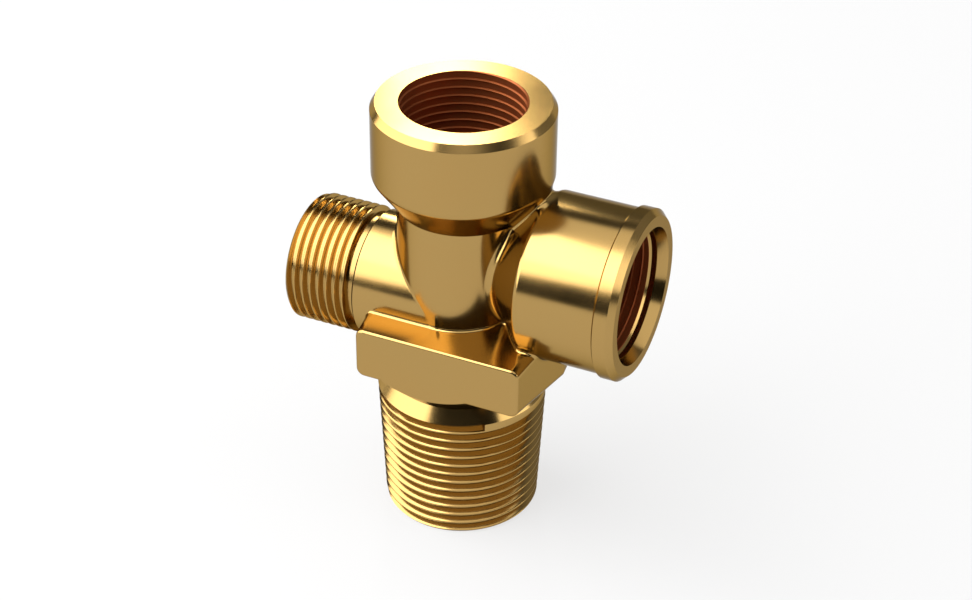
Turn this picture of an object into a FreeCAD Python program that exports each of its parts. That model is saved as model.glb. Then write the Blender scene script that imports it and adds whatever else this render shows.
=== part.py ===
"""Forged and machined brass body of a gas cylinder valve, one solid piece.

The origin is the centre of the stem's flat foot and +Z runs up the stem.
The outlet points along -X, the side port along +X, and the spanner flats face +Y and -Y.
All sizes are in millimetres.
"""

import FreeCAD, Part
import math
import os

UP = FreeCAD.Vector(0, 0, 1)
ALONG_X = FreeCAD.Vector(1, 0, 0)
ORIGIN = FreeCAD.Vector(0, 0, 0)

# Inlet stem: the envelope of its taper thread, with the large end up
STEM_LARGE_RADIUS = 14.5
STEM_TAPER_ON_DIAMETER = 0.10
STEM_THREAD_LENGTH = 23.7
STEM_FOOT_CHAMFER_WIDTH = 0.35
STEM_FOOT_CHAMFER_DEPTH = 0.5
STEM_NECK_RADIUS = 12.95
STEM_NECK_RISE = 2.4
FLARE_RADIUS = 17.6

# Spanner block above the stem, drafted from its flats to the parting plane
BLOCK_BOTTOM = 30.7
BLOCK_HEIGHT = 9.0
BLOCK_ACROSS_FLATS = 32.0
BLOCK_OUTLET_SIDE = 12.1
BLOCK_PORT_SIDE = 17.1
BLOCK_DRAFT_DEGREES = 6.0
BLOCK_CORNER_RADIUS = 1.4
BLOCK_EDGE_CHAMFER = 0.45

# Neck and collar that hold the spindle
NECK_RADIUS = 10.9
NECK_TOP = 58.7
COLLAR_RADIUS = 15.0
COLLAR_BOTTOM = 64.4
COLLAR_EDGE_RADIUS = 1.6
COLLAR_CHAMFER_WIDTH = 0.8
COLLAR_CHAMFER_DEPTH = 1.2
BODY_HEIGHT = 77.2

# Spindle bore, the minor diameter of an M22x1.5 thread
SPINDLE_BORE_RADIUS = 10.19
SPINDLE_BORE_DEPTH = 14.0
SPINDLE_MOUTH_CHAMFER = 0.2
CHAMBER_RADIUS = 6.5
CHAMBER_FLOOR = 36.5

# Outlet on -X, the envelope of an M22x1.5 thread
OUTLET_HEIGHT = 41.0
OUTLET_REACH = 28.0
OUTLET_THREAD_RADIUS = 11.0
OUTLET_END_CHAMFER = 0.5
OUTLET_GROOVE_WIDTH = 1.4
OUTLET_GROOVE_RADIUS = 9.9
OUTLET_SHANK_STAND_OFF = 1.8
OUTLET_SHANK_RADIUS = 10.85
OUTLET_SHANK_CHAMFER = 0.35
OUTLET_BORE_RADIUS = 4.0
OUTLET_SEAT_RADIUS = 7.0

# Side port on +X, the minor diameter of an M22x1.5 thread
PORT_HEIGHT = 49.1
PORT_REACH = 31.9
PORT_ROOT = 15.0
PORT_RADIUS = 13.85
PORT_RIM_RADIUS = 14.35
PORT_RIM_WIDTH = 3.5
PORT_RIM_STEP = 0.35
PORT_RIM_CHAMFER = 1.0
PORT_MOUTH_RADIUS = 11.5
PORT_MOUTH_DEPTH = 1.8
PORT_RECESS_RADIUS = 10.85
PORT_RECESS_DEPTH = 2.7
PORT_BORE_RADIUS = 10.19
PORT_BORE_DEPTH = 16.5
PORT_PASSAGE_RADIUS = 3.0

# Gas inlet up the stem
INLET_RADIUS = 4.0
SEAT_RADIUS = 3.0
SEAT_DROP = 6.0

# Small radius where the forged forms meet
JUNCTION_RADIUS = 0.5


def corner_cut(before, corner, after, radius):
    """The two tangent points and the middle of the arc that rounds a corner."""
    towards = (before - corner).normalize()
    away = (after - corner).normalize()
    half_angle = towards.getAngle(away) / 2
    reach = radius / math.tan(half_angle)
    bisector = (towards + away).normalize()
    middle = corner + bisector * (radius / math.sin(half_angle) - radius)
    return corner + towards * reach, middle, corner + away * reach


def rounded_wire(corners):
    """Closed wire through (point, radius) corners, each rounded by a tangent arc."""
    points = [point for point, radius in corners]
    edges = []
    starts = []
    for index, (point, radius) in enumerate(corners):
        if not radius:
            starts.append((point, point))
            continue
        following = points[(index + 1) % len(points)]
        first, middle, last = corner_cut(points[index - 1], point, following, radius)
        edges.append(Part.Arc(first, middle, last).toShape())
        starts.append((first, last))
    for index, (first, last) in enumerate(starts):
        following = starts[(index + 1) % len(starts)][0]
        if last.distanceToPoint(following) > 1e-6:
            edges.append(Part.LineSegment(last, following).toShape())
    return Part.Wire(Part.__sortEdges__(edges))


def turned(profile):
    """Solid of revolution about the stem, from (radius, height, rounding) corners."""
    corners = [(FreeCAD.Vector(radius, 0, height), rounding) for radius, height, rounding in profile]
    return Part.Face(rounded_wire(corners)).revolve(ORIGIN, UP, 360)


def turned_about_x(profile, axis_height):
    """Solid of revolution about a level axis, from (x, radius, rounding) corners."""
    corners = [(FreeCAD.Vector(x, 0, axis_height + radius), rounding) for x, radius, rounding in profile]
    return Part.Face(rounded_wire(corners)).revolve(FreeCAD.Vector(0, 0, axis_height), ALONG_X, 360)


def stem_radius(height):
    """Radius of the stem's thread envelope at a height."""
    return STEM_LARGE_RADIUS - (STEM_THREAD_LENGTH - height) * STEM_TAPER_ON_DIAMETER / 2


def stem():
    """Taper stem with a chamfered foot and a turned neck above the thread."""
    foot_edge = stem_radius(STEM_FOOT_CHAMFER_DEPTH)
    return turned([
        (0, 0, 0),
        (foot_edge - STEM_FOOT_CHAMFER_WIDTH, 0, 0),
        (foot_edge, STEM_FOOT_CHAMFER_DEPTH, 0),
        (STEM_LARGE_RADIUS, STEM_THREAD_LENGTH, 0),
        (STEM_NECK_RADIUS, STEM_THREAD_LENGTH + STEM_NECK_RISE, 0),
        (0, STEM_THREAD_LENGTH + STEM_NECK_RISE, 0),
    ])


def block_growth():
    """How far each drafted face stands out at the parting plane."""
    return BLOCK_ACROSS_FLATS / 2 * math.tan(math.radians(BLOCK_DRAFT_DEGREES))


def half_block():
    """Drafted half of the block, from the front flat to the parting plane."""
    growth = block_growth()
    left = -BLOCK_OUTLET_SIDE
    right = BLOCK_PORT_SIDE
    low = BLOCK_BOTTOM
    high = BLOCK_BOTTOM + BLOCK_HEIGHT
    return Part.makeWedge(
        left, -BLOCK_ACROSS_FLATS / 2, low, low - growth, left - growth,
        right, 0, high, high + growth, right + growth,
    )


def spanner_block():
    """Drafted forging between the two spanner flats, with its corners and edges eased."""
    front = half_block()
    back = front.mirror(ORIGIN, FreeCAD.Vector(0, 1, 0))
    block = front.fuse(back).removeSplitter()
    corners = [edge for edge in block.Edges if runs_to_the_flat(edge)]
    block = block.makeFillet(BLOCK_CORNER_RADIUS, corners)
    flat = BLOCK_ACROSS_FLATS / 2
    outlines = [edge for edge in block.Edges if abs(abs(edge.CenterOfMass.y) - flat) < 1e-6]
    return block.makeChamfer(BLOCK_EDGE_CHAMFER, outlines)


def runs_to_the_flat(edge):
    """Whether an edge of the block is a corner between a flat and the parting plane."""
    depths = sorted(abs(vertex.Y) for vertex in edge.Vertexes)
    return depths[0] < 1e-6 and depths[1] > BLOCK_ACROSS_FLATS / 2 - 1e-6


def block_footprint(top):
    """The block's plan carried down to the stem's neck, to trim the flare."""
    flat = BLOCK_ACROSS_FLATS / 2
    growth = block_growth()
    left = -BLOCK_OUTLET_SIDE
    right = BLOCK_PORT_SIDE
    plan = [(left, -flat), (right, -flat), (right + growth, 0), (right, flat), (left, flat), (left - growth, 0)]
    bottom = STEM_THREAD_LENGTH + STEM_NECK_RISE
    wire = rounded_wire([(FreeCAD.Vector(x, y, bottom), 0) for x, y in plan])
    return Part.Face(wire).extrude(FreeCAD.Vector(0, 0, top - bottom))


def flare():
    """Turned cone that widens from the stem's neck into the block, cut off by its sides."""
    bottom = STEM_THREAD_LENGTH + STEM_NECK_RISE
    top = BLOCK_BOTTOM + BLOCK_HEIGHT / 2
    cone = turned([
        (0, bottom, 0),
        (STEM_NECK_RADIUS, bottom, 0),
        (FLARE_RADIUS, BLOCK_BOTTOM, 0),
        (FLARE_RADIUS, top, 0),
        (0, top, 0),
    ])
    return cone.common(block_footprint(top))


def neck_and_collar():
    """Neck that rises from the block and widens into the chamfered collar."""
    bottom = BLOCK_BOTTOM + BLOCK_HEIGHT / 2
    return turned([
        (0, bottom, 0),
        (NECK_RADIUS, bottom, 0),
        (NECK_RADIUS, NECK_TOP, 0),
        (COLLAR_RADIUS, COLLAR_BOTTOM, COLLAR_EDGE_RADIUS),
        (COLLAR_RADIUS, BODY_HEIGHT - COLLAR_CHAMFER_DEPTH, 0),
        (COLLAR_RADIUS - COLLAR_CHAMFER_WIDTH, BODY_HEIGHT, 0),
        (0, BODY_HEIGHT, 0),
    ])


def outlet():
    """Outlet spigot: thread envelope, relief groove and plain shank."""
    groove_end = BLOCK_OUTLET_SIDE + block_growth() + OUTLET_SHANK_STAND_OFF
    thread_end = groove_end + OUTLET_GROOVE_WIDTH
    return turned_about_x([
        (0, 0, 0),
        (0, OUTLET_SHANK_RADIUS, 0),
        (OUTLET_SHANK_CHAMFER - groove_end, OUTLET_SHANK_RADIUS, 0),
        (-groove_end, OUTLET_SHANK_RADIUS - OUTLET_SHANK_CHAMFER, 0),
        (-groove_end, OUTLET_GROOVE_RADIUS, 0),
        (-thread_end, OUTLET_GROOVE_RADIUS, 0),
        (-thread_end, OUTLET_THREAD_RADIUS, 0),
        (OUTLET_END_CHAMFER - OUTLET_REACH, OUTLET_THREAD_RADIUS, 0),
        (-OUTLET_REACH, OUTLET_THREAD_RADIUS - OUTLET_END_CHAMFER, 0),
        (-OUTLET_REACH, 0, 0),
    ], OUTLET_HEIGHT)


def side_port():
    """Side port boss: a cone out of the neck, a plain barrel and a chamfered rim."""
    rim_start = PORT_REACH - PORT_RIM_WIDTH
    return turned_about_x([
        (PORT_ROOT - PORT_RADIUS, 0, 0),
        (PORT_ROOT, PORT_RADIUS, 0),
        (rim_start, PORT_RADIUS, 0),
        (rim_start + PORT_RIM_STEP, PORT_RIM_RADIUS, 0),
        (PORT_REACH - PORT_RIM_CHAMFER, PORT_RIM_RADIUS, 0),
        (PORT_REACH, PORT_RIM_RADIUS - PORT_RIM_CHAMFER, 0),
        (PORT_REACH, 0, 0),
    ], PORT_HEIGHT)


def spindle_bore():
    """Threaded bore for the spindle, the chamber below it and the seat of the valve."""
    thread_floor = BODY_HEIGHT - SPINDLE_BORE_DEPTH
    return turned([
        (0, CHAMBER_FLOOR - SEAT_DROP, 0),
        (SEAT_RADIUS, CHAMBER_FLOOR - SEAT_DROP, 0),
        (SEAT_RADIUS, CHAMBER_FLOOR, 0),
        (CHAMBER_RADIUS, CHAMBER_FLOOR, 0),
        (CHAMBER_RADIUS, thread_floor, 0),
        (SPINDLE_BORE_RADIUS, thread_floor, 0),
        (SPINDLE_BORE_RADIUS, BODY_HEIGHT - SPINDLE_MOUTH_CHAMFER, 0),
        (SPINDLE_BORE_RADIUS + SPINDLE_MOUTH_CHAMFER, BODY_HEIGHT, 0),
        (0, BODY_HEIGHT, 0),
    ])


def inlet_bore():
    """Gas passage from the foot to the step below the seat."""
    top = CHAMBER_FLOOR - SEAT_DROP
    return turned([
        (0, 0, 0),
        (INLET_RADIUS, 0, 0),
        (INLET_RADIUS, top, 0),
        (0, top + INLET_RADIUS, 0),
    ])


def outlet_bore():
    """Outlet passage with the cone that a connector seals on."""
    cone = OUTLET_SEAT_RADIUS - OUTLET_BORE_RADIUS
    return turned_about_x([
        (0, 0, 0),
        (0, OUTLET_BORE_RADIUS, 0),
        (cone - OUTLET_REACH, OUTLET_BORE_RADIUS, 0),
        (-OUTLET_REACH, OUTLET_SEAT_RADIUS, 0),
        (-OUTLET_REACH, 0, 0),
    ], OUTLET_HEIGHT)


def port_bore():
    """Side port bore: tapered mouth, stepped recess, threaded length and passage."""
    floor = PORT_REACH - PORT_BORE_DEPTH
    taper = (PORT_BORE_RADIUS - PORT_PASSAGE_RADIUS) * math.tan(math.radians(30))
    thread_lead = PORT_RECESS_RADIUS - PORT_BORE_RADIUS
    step = (PORT_MOUTH_RADIUS - PORT_RECESS_RADIUS) / 4
    return turned_about_x([
        (0, 0, 0),
        (0, PORT_PASSAGE_RADIUS, 0),
        (floor - taper, PORT_PASSAGE_RADIUS, 0),
        (floor, PORT_BORE_RADIUS, 0),
        (PORT_REACH - PORT_RECESS_DEPTH - thread_lead, PORT_BORE_RADIUS, 0),
        (PORT_REACH - PORT_RECESS_DEPTH, PORT_RECESS_RADIUS, 0),
        (PORT_REACH - PORT_MOUTH_DEPTH, PORT_RECESS_RADIUS, 0),
        (PORT_REACH - PORT_MOUTH_DEPTH, PORT_RECESS_RADIUS + step, 0),
        (PORT_REACH, PORT_MOUTH_RADIUS, 0),
        (PORT_REACH, 0, 0),
    ], PORT_HEIGHT)


def lies_on(edge, form):
    """Whether an edge lies on the skin of a form."""
    span = edge.LastParameter - edge.FirstParameter
    points = [edge.valueAt(edge.FirstParameter + share * span) for share in (0.3, 0.5, 0.7)]
    return all(form.Shells[0].distToShape(Part.Vertex(point))[0] < 1e-4 for point in points)


def meeting_edges(shape, pairs):
    """Edges of the shape where the two forms of any of the pairs meet."""
    return [
        edge for edge in shape.Edges
        if any(lies_on(edge, first) and lies_on(edge, second) for first, second in pairs)
    ]


def forging():
    """The outer form, with small radii where the neck, outlet and port meet the block."""
    block = spanner_block()
    neck = neck_and_collar()
    spigot = outlet()
    port = side_port()
    upper = neck.multiFuse([block, spigot, port]).removeSplitter()
    junctions = meeting_edges(upper, [(block, neck), (block, spigot), (block, port)])
    eased = upper.makeFillet(JUNCTION_RADIUS, junctions)
    return eased.multiFuse([stem(), flare()]).removeSplitter()


def valve_body():
    """The forging with its bores cut."""
    return forging().cut(spindle_bore().multiFuse([inlet_bore(), outlet_bore(), port_bore()]))


os.makedirs("parts", exist_ok=True)
body = valve_body()
print("valve_body valid", body.isValid(), "solids", len(body.Solids), "volume", round(body.Volume, 1))
body.exportStep("parts/valve_body.step")
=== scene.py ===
"""Brass body of a gas cylinder valve, with its eased forging lines, cut threads and polished finish.

The body is modelled in millimetres, round the centre of the stem's foot, and brought to metres at the end.
"""

import math
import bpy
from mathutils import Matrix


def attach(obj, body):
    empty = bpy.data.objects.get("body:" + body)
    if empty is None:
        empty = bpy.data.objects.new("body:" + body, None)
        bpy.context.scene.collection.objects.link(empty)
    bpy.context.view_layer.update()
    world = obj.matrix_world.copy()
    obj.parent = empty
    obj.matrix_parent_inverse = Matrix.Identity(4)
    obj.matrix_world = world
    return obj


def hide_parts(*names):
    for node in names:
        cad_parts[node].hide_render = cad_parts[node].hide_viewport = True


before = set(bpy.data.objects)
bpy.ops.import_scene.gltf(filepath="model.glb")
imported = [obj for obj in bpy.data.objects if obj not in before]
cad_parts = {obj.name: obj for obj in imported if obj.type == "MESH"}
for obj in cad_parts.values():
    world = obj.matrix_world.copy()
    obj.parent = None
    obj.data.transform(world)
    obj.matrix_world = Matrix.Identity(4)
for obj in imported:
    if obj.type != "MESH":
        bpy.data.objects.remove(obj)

from types import SimpleNamespace

import bmesh
import bpy
import numpy as np
from mathutils import Matrix, Vector

bl_info = {
    "name": "Gas cylinder valve body",
    "version": (1, 0, 0),
    "blender": (4, 5, 0),
    "location": "View3D > Sidebar > Valve",
    "description": "Builds the polished brass body of a gas cylinder valve in its studio",
    "category": "Add Mesh",
}

METRE = 0.001
UP = Vector((0, 0, 1))
ALONG_X = Vector((1, 0, 0))
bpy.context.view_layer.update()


def length(name, millimetres, description):
    """A size in Blender's own unit, given in millimetres."""
    return bpy.props.FloatProperty(
        name=name, description=description, default=millimetres * METRE, min=0.0, unit="LENGTH", subtype="DISTANCE", precision=5
    )


def angle(name, degrees, description):
    """A turn, given in degrees."""
    return bpy.props.FloatProperty(name=name, description=description, default=math.radians(degrees), unit="ROTATION", subtype="ANGLE")


def colour(name, value, description):
    """A linear colour."""
    return bpy.props.FloatVectorProperty(name=name, description=description, default=value, size=4, min=0.0, max=1.0, subtype="COLOR")


def share(name, value, description):
    """A plain number between nought and one."""
    return bpy.props.FloatProperty(name=name, description=description, default=value, min=0.0, max=1.0, subtype="FACTOR")


def count(name, value, description):
    """A number of steps."""
    return bpy.props.IntProperty(name=name, description=description, default=value, min=3)


class BodySizes(bpy.types.PropertyGroup):
    """Sizes of the forged and machined body."""

    stem_radius: length("Stem radius", 14.5, "Crest radius of the stem thread at its large end")
    stem_length: length("Stem thread length", 23.7, "Height of the large end above the foot")
    stem_taper: share("Stem taper", 0.10, "Change of the stem's diameter along its length")
    stem_pitch: length("Stem pitch", 1.814, "Distance between the crests of the stem thread")
    stem_depth: length("Stem thread depth", 1.08, "Depth of the stem thread")
    stem_run_out: angle("Stem thread run-out", -50, "Where round the stem its thread groove ends")
    stem_groove_top: length("Stem groove top", 23.14, "Height of the groove's middle at its end")
    foot_chamfer_width: length("Foot chamfer width", 0.35, "Radial width of the chamfer on the foot")
    foot_chamfer_depth: length("Foot chamfer height", 0.5, "Height of the chamfer on the foot")
    stem_neck_radius: length("Stem neck radius", 12.95, "Smallest radius between the stem and the block")
    stem_neck_rise: length("Stem neck rise", 2.4, "Height of the cone above the stem thread")
    flare_radius: length("Flare radius", 17.6, "Radius of the cone where it meets the block")
    block_bottom: length("Block bottom", 30.7, "Height of the spanner flats' lower edge")
    block_height: length("Block height", 9.0, "Height of the spanner flats")
    block_flats: length("Across flats", 32.0, "Distance between the two spanner flats")
    block_outlet_side: length("Block on the outlet side", 12.1, "Reach of the flats towards the outlet")
    block_port_side: length("Block on the port side", 17.1, "Reach of the flats towards the side port")
    block_draft: angle("Block draft", 6.0, "Draft of the forged faces")
    block_corner: length("Block corner", 1.4, "Radius of the block's forged corners")
    block_edge: length("Block edge", 0.45, "Radius of the edges round the spanner flats")
    neck_radius: length("Neck radius", 10.9, "Radius of the neck above the block")
    neck_top: length("Neck top", 58.7, "Height where the neck starts to widen")
    collar_radius: length("Collar radius", 15.0, "Radius of the collar")
    collar_bottom: length("Collar bottom", 64.4, "Height where the collar's cone ends")
    collar_edge: length("Collar edge", 1.6, "Radius between the collar and its cone")
    collar_chamfer_width: length("Collar chamfer width", 0.8, "Radial width of the collar's top chamfer")
    collar_chamfer_depth: length("Collar chamfer height", 1.2, "Height of the collar's top chamfer")
    body_height: length("Body height", 77.2, "Height of the collar's face above the foot")
    spindle_depth: length("Spindle bore depth", 14.0, "Depth of the spindle's threaded bore")
    spindle_chamfer: length("Spindle bore chamfer", 0.2, "Chamfer on the mouth of the spindle bore")
    chamber_radius: length("Chamber radius", 6.5, "Radius of the chamber over the seat")
    chamber_floor: length("Chamber floor", 36.5, "Height of the chamber's floor")
    seat_radius: length("Seat radius", 3.0, "Radius of the hole in the valve seat")
    seat_drop: length("Seat depth", 6.0, "Length of the hole in the valve seat")
    inlet_radius: length("Inlet radius", 4.0, "Radius of the gas inlet in the foot")
    outlet_height: length("Outlet height", 41.0, "Height of the outlet's axis")
    outlet_reach: length("Outlet reach", 28.0, "Distance of the outlet's end from the stem's axis")
    outlet_radius: length("Outlet radius", 11.0, "Crest radius of the outlet thread")
    outlet_depth: length("Outlet thread depth", 0.92, "Depth of the outlet thread")
    outlet_chamfer: length("Outlet chamfer", 0.5, "Chamfer on the outlet's end")
    outlet_groove_width: length("Outlet groove width", 1.4, "Width of the groove behind the outlet thread")
    outlet_groove_radius: length("Outlet groove radius", 9.9, "Radius of the floor of that groove")
    outlet_stand_off: length("Outlet stand-off", 1.8, "Length of the plain shank outside the block")
    outlet_shank_radius: length("Outlet shank radius", 10.85, "Radius of the plain shank")
    outlet_shank_chamfer: length("Outlet shank chamfer", 0.35, "Chamfer on the plain shank")
    outlet_bore: length("Outlet bore radius", 4.0, "Radius of the outlet's passage")
    outlet_seat: length("Outlet seat radius", 7.0, "Radius of the cone in the outlet's mouth")
    port_height: length("Port height", 49.1, "Height of the side port's axis")
    port_reach: length("Port reach", 31.9, "Distance of the port's face from the stem's axis")
    port_root: length("Port root", 15.0, "Where the port's cone meets its barrel")
    port_radius: length("Port radius", 13.85, "Radius of the port's barrel")
    port_back_edge: length("Port back edge", 1.0, "Radius between the port's barrel and its cone")
    port_rim_radius: length("Port rim radius", 14.35, "Radius of the port's rim")
    port_rim_width: length("Port rim width", 3.5, "Width of the port's rim")
    port_rim_step: length("Port rim step", 0.35, "Width of the cone that leads up to the rim")
    port_rim_chamfer: length("Port rim chamfer", 1.0, "Chamfer on the port's rim")
    port_mouth_radius: length("Port mouth radius", 11.5, "Radius of the port's mouth at its face")
    port_mouth_depth: length("Port mouth depth", 1.8, "Depth of the tapered mouth")
    port_recess_radius: length("Port recess radius", 10.85, "Radius of the recess ahead of the thread")
    port_recess_depth: length("Port recess depth", 2.7, "Depth of that recess")
    port_bore_depth: length("Port bore depth", 16.5, "Depth of the threaded bore")
    port_passage: length("Port passage radius", 3.0, "Radius of the passage into the chamber")
    bore_radius: length("Bore thread minor radius", 10.19, "Crest radius of both inner threads")
    bore_major: length("Bore thread major radius", 10.47, "Root radius of both inner threads")
    pitch: length("Pitch", 1.5, "Pitch of the outlet thread and of both inner threads")
    neck_outlet_fillet: length("Neck to outlet fillet", 1.0, "Forged radius between the neck and the outlet")
    neck_port_fillet: length("Neck to port fillet", 1.2, "Forged radius between the neck and the side port")
    block_fillet: length("Block fillet", 0.55, "Forged radius where the block meets the forms above it")
    turning_steps: count("Turning steps", 168, "Steps round a turned form")
    thread_steps: count("Thread steps", 96, "Steps in one turn of an outer thread")
    bore_steps: count("Bore thread steps", 72, "Steps in one turn of an inner thread")
    fillet_grain: length("Fillet grain", 0.3, "Edge length of the faces in the forged radii")


class BodyFinish(bpy.types.PropertyGroup):
    """Colour and polish of the brass, and the painted shade in its threaded bores."""

    brass: colour("Brass", (0.43, 0.282, 0.098, 1.0), "Colour of the polished brass")
    brass_warm: colour("Warm brass", (0.445, 0.274, 0.089, 1.0), "Colour of its warmer patches")
    # Painted shade: this dark red-brown stands in for the shade and the inner reflections deep in the threaded bores.
    bore_painted_shade: colour("Bore brown", (0.33, 0.092, 0.028, 1.0), "Colour of the threaded bores, left as they were cut")
    roughness: share("Roughness", 0.17, "Roughness of the polished surface")
    edge_tone: colour("Edge tone", (0.45, 0.43, 0.40, 1.0), "Tone of the brass where it is seen at a glance")
    bore_roughness: share("Bore roughness", 0.32, "Roughness of the threaded bores")
    # The bores' lower share of metal makes their painted shade duller and darker.
    bore_shine: share("Bore shine", 0.72, "Share of bare metal in the bores' finish")
    grain: share("Grain", 0.05, "Strength of the fine polishing marks")


class StudioSettings(bpy.types.PropertyGroup):
    """Floor, light and camera."""

    floor: colour("Floor", (0.58, 0.58, 0.58, 1.0), "Colour of the floor under plain light")
    floor_white: share("Floor white", 0.70, "Share of plain white in the floor as it is seen")
    lens: bpy.props.FloatProperty(name="Lens", description="Focal length", default=78.3, min=1.0, unit="CAMERA")
    sensor: bpy.props.FloatProperty(name="Sensor", description="Sensor width", default=36.0, min=1.0, unit="CAMERA")
    azimuth: angle("Azimuth", 24.046, "Turn of the camera round the object")
    elevation: angle("Elevation", 33.578, "Angle of the camera above the floor")
    roll: angle("Roll", 0.702, "Turn of the camera about its own axis")
    distance: length("Distance", 355.16, "Distance of the camera from its target")


def millimetres(group):
    """The group's values as plain numbers, its lengths in millimetres."""
    values = {}
    for name, prop in group.bl_rna.properties.items():
        if name in group.__annotations__:
            value = getattr(group, name)
            values[name] = value / METRE if prop.unit == "LENGTH" else value
    return SimpleNamespace(**values)


# ---------------------------------------------------------------- shaping

def nothing_selected():
    """Leaves edit mode and deselects every object."""
    if bpy.context.object and bpy.context.object.mode != "OBJECT":
        bpy.ops.object.mode_set(mode="OBJECT")
    bpy.ops.object.select_all(action="DESELECT")


def only(piece):
    """Makes a piece the one that the next operator acts on."""
    nothing_selected()
    piece.select_set(True)
    bpy.context.view_layer.objects.active = piece


def start_line(name, first):
    """A new piece in edit mode that holds one point."""
    nothing_selected()
    bpy.ops.mesh.primitive_plane_add(size=1)
    piece = bpy.context.object
    piece.name = name
    bpy.ops.object.mode_set(mode="EDIT")
    bpy.ops.mesh.select_mode(type="VERT")
    bpy.ops.mesh.select_all(action="SELECT")
    bpy.ops.mesh.merge(type="CENTER")
    bpy.ops.transform.translate(value=first)
    return piece


def draw_line(points):
    """Extrudes the selected point through the others."""
    for here, there in zip(points, points[1:]):
        bpy.ops.mesh.extrude_region_move(TRANSFORM_OT_translate={"value": there - here})


def close_skin(piece, reach=1e-4):
    """Merges doubled points and turns the faces outwards."""
    only(piece)
    bpy.ops.object.mode_set(mode="EDIT")
    bpy.ops.mesh.select_all(action="SELECT")
    bpy.ops.mesh.remove_doubles(threshold=reach)
    bpy.ops.mesh.normals_make_consistent(inside=False)
    bpy.ops.object.mode_set(mode="OBJECT")


def turned(name, outline, steps):
    """A form turned about the stem's axis, from (radius, height) points between its two ends on the axis."""
    points = [Vector((radius, 0, height)) for radius, height in outline]
    piece = start_line(name, points[0])
    draw_line(points)
    bpy.ops.mesh.select_all(action="SELECT")
    bpy.ops.mesh.spin(steps=steps, angle=math.tau, use_auto_merge=True, center=(0, 0, 0), axis=UP)
    close_skin(piece)
    return piece


def turned_level(name, outline, height, steps):
    """A form turned about a level axis, from (x, radius) points between its two ends on the axis."""
    points = [Vector((x, 0, height + radius)) for x, radius in outline]
    piece = start_line(name, points[0])
    draw_line(points)
    bpy.ops.mesh.select_all(action="SELECT")
    bpy.ops.mesh.spin(steps=steps, angle=math.tau, use_auto_merge=True, center=(0, 0, height), axis=ALONG_X)
    close_skin(piece)
    return piece


def combine(piece, tool, operation):
    """Joins, cuts or trims a piece with a tool, which is used up."""
    only(piece)
    bpy.ops.object.modifier_add(type="BOOLEAN")
    modifier = piece.modifiers[-1]
    modifier.object = tool
    modifier.operation = operation
    modifier.solver = "MANIFOLD"
    bpy.ops.object.modifier_apply(modifier=modifier.name)
    bpy.data.objects.remove(tool)
    if not piece.data.polygons:
        raise RuntimeError("nothing is left of " + piece.name)


FINE_FLANK = ((0.0, 0.0), (0.12, 0.07), (0.28, 0.24), (0.72, 0.76), (0.88, 0.93), (1.0, 1.0))
PLAIN_FLANK = ((0.0, 0.0), (0.2, 0.14), (0.8, 0.86), (1.0, 1.0))


def threaded_rod(name, crest, root, pitch, low, high, steps, crest_share, root_share, curve):
    """A right-handed threaded rod about the stem's axis, flat at both ends."""
    flank = (1 - crest_share - root_share) / 2
    depth = crest - root
    marks = [(root_share / 2 + flank * along, rise) for along, rise in curve]
    profile = [(0.0, 0.0)] + marks + [(1 - along, rise) for along, rise in reversed(marks)] + [(1.0, 0.0)]
    start = low - 2 * pitch
    points = [Vector((root + rise * depth, 0, start + along * pitch)) for along, rise in profile]
    piece = start_line(name, points[0])
    draw_line(points)
    bpy.ops.object.mode_set(mode="OBJECT")
    bpy.ops.object.modifier_add(type="SCREW")
    screw = piece.modifiers[-1]
    screw.axis = "Z"
    screw.angle = math.tau
    screw.screw_offset = pitch
    screw.iterations = math.ceil((high - low) / pitch) + 4
    screw.steps = screw.render_steps = steps
    screw.use_merge_vertices = False
    bpy.ops.object.modifier_apply(modifier=screw.name)
    bpy.ops.object.mode_set(mode="EDIT")
    bpy.ops.mesh.select_all(action="SELECT")
    bpy.ops.mesh.remove_doubles(threshold=1e-3)
    for level, side in ((low, -1), (high, 1)):
        bpy.ops.mesh.select_all(action="SELECT")
        bpy.ops.mesh.bisect(plane_co=(0, 0, level), plane_no=(0, 0, side), use_fill=True, clear_outer=True, threshold=1e-5)
    bpy.ops.mesh.select_all(action="SELECT")
    bpy.ops.mesh.normals_make_consistent(inside=False)
    bpy.ops.object.mode_set(mode="OBJECT")
    return piece


def arc_points(before, corner, after, radius, steps):
    """The points of the arc that rounds a corner of an outline."""
    before, corner, after = Vector(before), Vector(corner), Vector(after)
    towards, away = (before - corner).normalized(), (after - corner).normalized()
    half = towards.angle(away) / 2
    first = corner + towards * radius / math.tan(half)
    last = corner + away * radius / math.tan(half)
    centre = corner + (towards + away).normalized() * radius / math.sin(half)
    points = []
    for step in range(steps + 1):
        turn = step / steps
        sweep = math.pi - 2 * half
        spoke = ((first - centre) * math.sin((1 - turn) * sweep) + (last - centre) * math.sin(turn * sweep)) / math.sin(sweep)
        points.append(tuple(centre + spoke))
    return points, tuple(centre)


# ---------------------------------------------------------------- distance fields of the forged forms

def dot(one, other):
    return np.einsum("ij,ij->i", one, other)


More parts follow.
